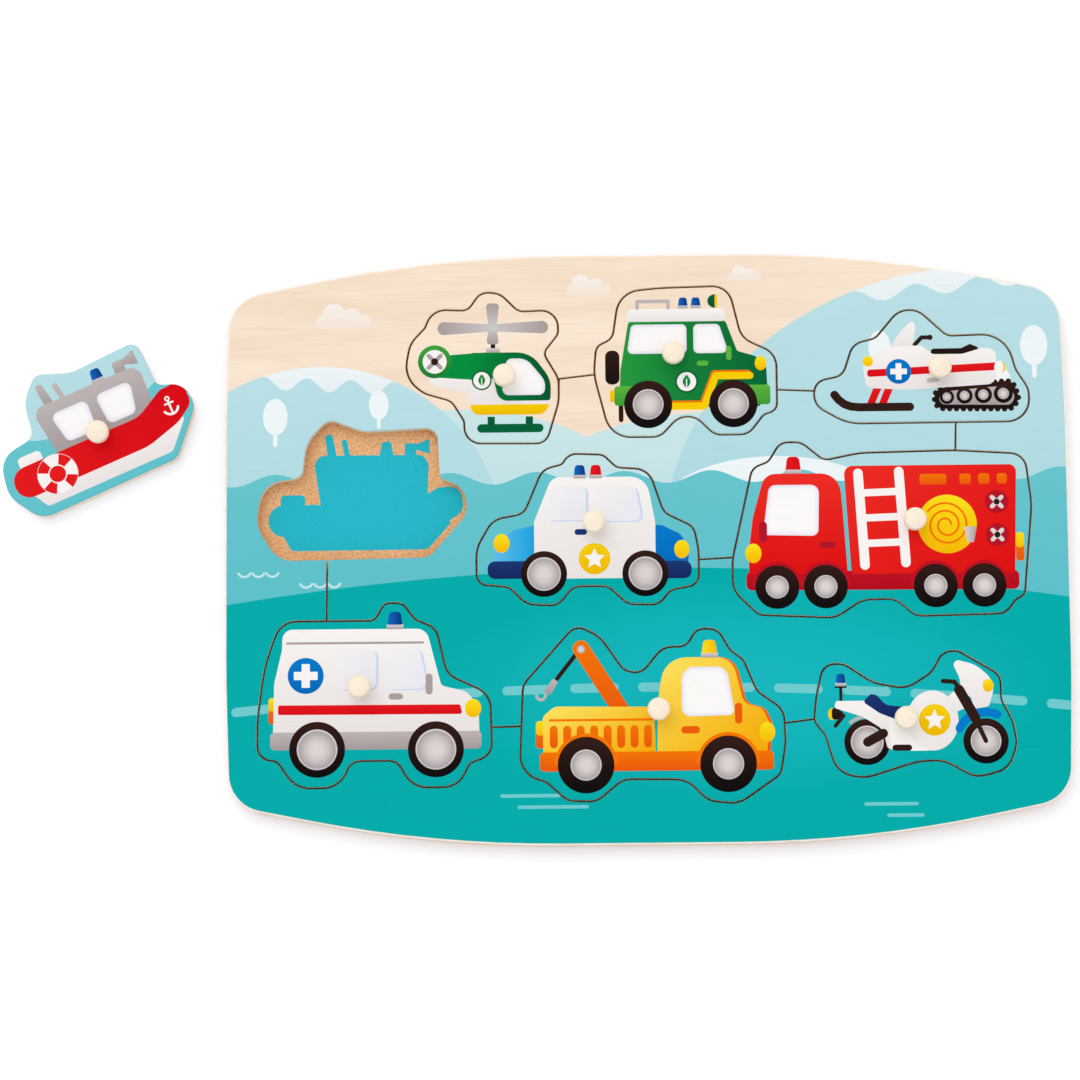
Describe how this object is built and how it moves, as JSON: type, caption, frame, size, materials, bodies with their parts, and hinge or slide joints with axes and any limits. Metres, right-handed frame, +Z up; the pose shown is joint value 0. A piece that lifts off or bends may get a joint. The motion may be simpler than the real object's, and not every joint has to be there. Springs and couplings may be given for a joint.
{
  "type": "wooden peg puzzle",
  "caption": "Flat wooden tray puzzle with bowed sides: printed plywood vehicles, each with a turned lifting peg, sit in sawn pockets over a hardboard back; one vehicle lies beside it.",
  "frame": {"origin": "middle of the board's underside, on the table", "axes": "+X along the board's long side, +Y towards its far long side (the top of the picture), +Z up out of the printed face"},
  "size_m": [0.3799, 0.211, 0.018],
  "materials": {
    "tray_print": "printed and varnished plywood, satin",
    "hardboard": "smooth pressed hardboard, satin",
    "turned_peg": "turned pale hardwood, sanded and waxed",
    "helicopter_print": "printed and varnished plywood, satin",
    "offroad_car_print": "printed and varnished plywood, satin",
    "snowmobile_print": "printed and varnished plywood, satin",
    "boat_print": "printed and varnished plywood, satin",
    "police_car_print": "printed and varnished plywood, satin",
    "fire_engine_print": "printed and varnished plywood, satin",
    "ambulance_print": "printed and varnished plywood, satin",
    "tow_truck_print": "printed and varnished plywood, satin",
    "motorcycle_print": "printed and varnished plywood, satin"
  },
  "bodies": {
    "board": {"tray_panel": "tray_print", "backing_board": "hardboard"},
    "helicopter": {"helicopter_piece": "helicopter_print", "helicopter_peg": "turned_peg"},
    "offroad_car": {"offroad_car_piece": "offroad_car_print", "offroad_car_peg": "turned_peg"},
    "snowmobile": {"snowmobile_piece": "snowmobile_print", "snowmobile_peg": "turned_peg"},
    "boat": {"boat_piece": "boat_print", "boat_peg": "turned_peg"},
    "police_car": {"police_car_piece": "police_car_print", "police_car_peg": "turned_peg"},
    "fire_engine": {"fire_engine_piece": "fire_engine_print", "fire_engine_peg": "turned_peg"},
    "ambulance": {"ambulance_piece": "ambulance_print", "ambulance_peg": "turned_peg"},
    "tow_truck": {"tow_truck_piece": "tow_truck_print", "tow_truck_peg": "turned_peg"},
    "motorcycle": {"motorcycle_piece": "motorcycle_print", "motorcycle_peg": "turned_peg"}
  },
  "joints": [
    {"name": "helicopter_lift", "type": "slide", "parent": "board", "child": "helicopter", "axis": [0, 0, 1], "range_m": [0, 0.04]},
    {"name": "offroad_car_lift", "type": "slide", "parent": "board", "child": "offroad_car", "axis": [0, 0, 1], "range_m": [0, 0.04]},
    {"name": "snowmobile_lift", "type": "slide", "parent": "board", "child": "snowmobile", "axis": [0, 0, 1], "range_m": [0, 0.04]},
    {"name": "boat_lift", "type": "slide", "parent": "board", "child": "boat", "axis": [0, 0, 1], "range_m": [0, 0.04]},
    {"name": "police_car_lift", "type": "slide", "parent": "board", "child": "police_car", "axis": [0, 0, 1], "range_m": [0, 0.04]},
    {"name": "fire_engine_lift", "type": "slide", "parent": "board", "child": "fire_engine", "axis": [0, 0, 1], "range_m": [0, 0.04]},
    {"name": "ambulance_lift", "type": "slide", "parent": "board", "child": "ambulance", "axis": [0, 0, 1], "range_m": [0, 0.04]},
    {"name": "tow_truck_lift", "type": "slide", "parent": "board", "child": "tow_truck", "axis": [0, 0, 1], "range_m": [0, 0.04]},
    {"name": "motorcycle_lift", "type": "slide", "parent": "board", "child": "motorcycle", "axis": [0, 0, 1], "range_m": [0, 0.04]}
  ]
}
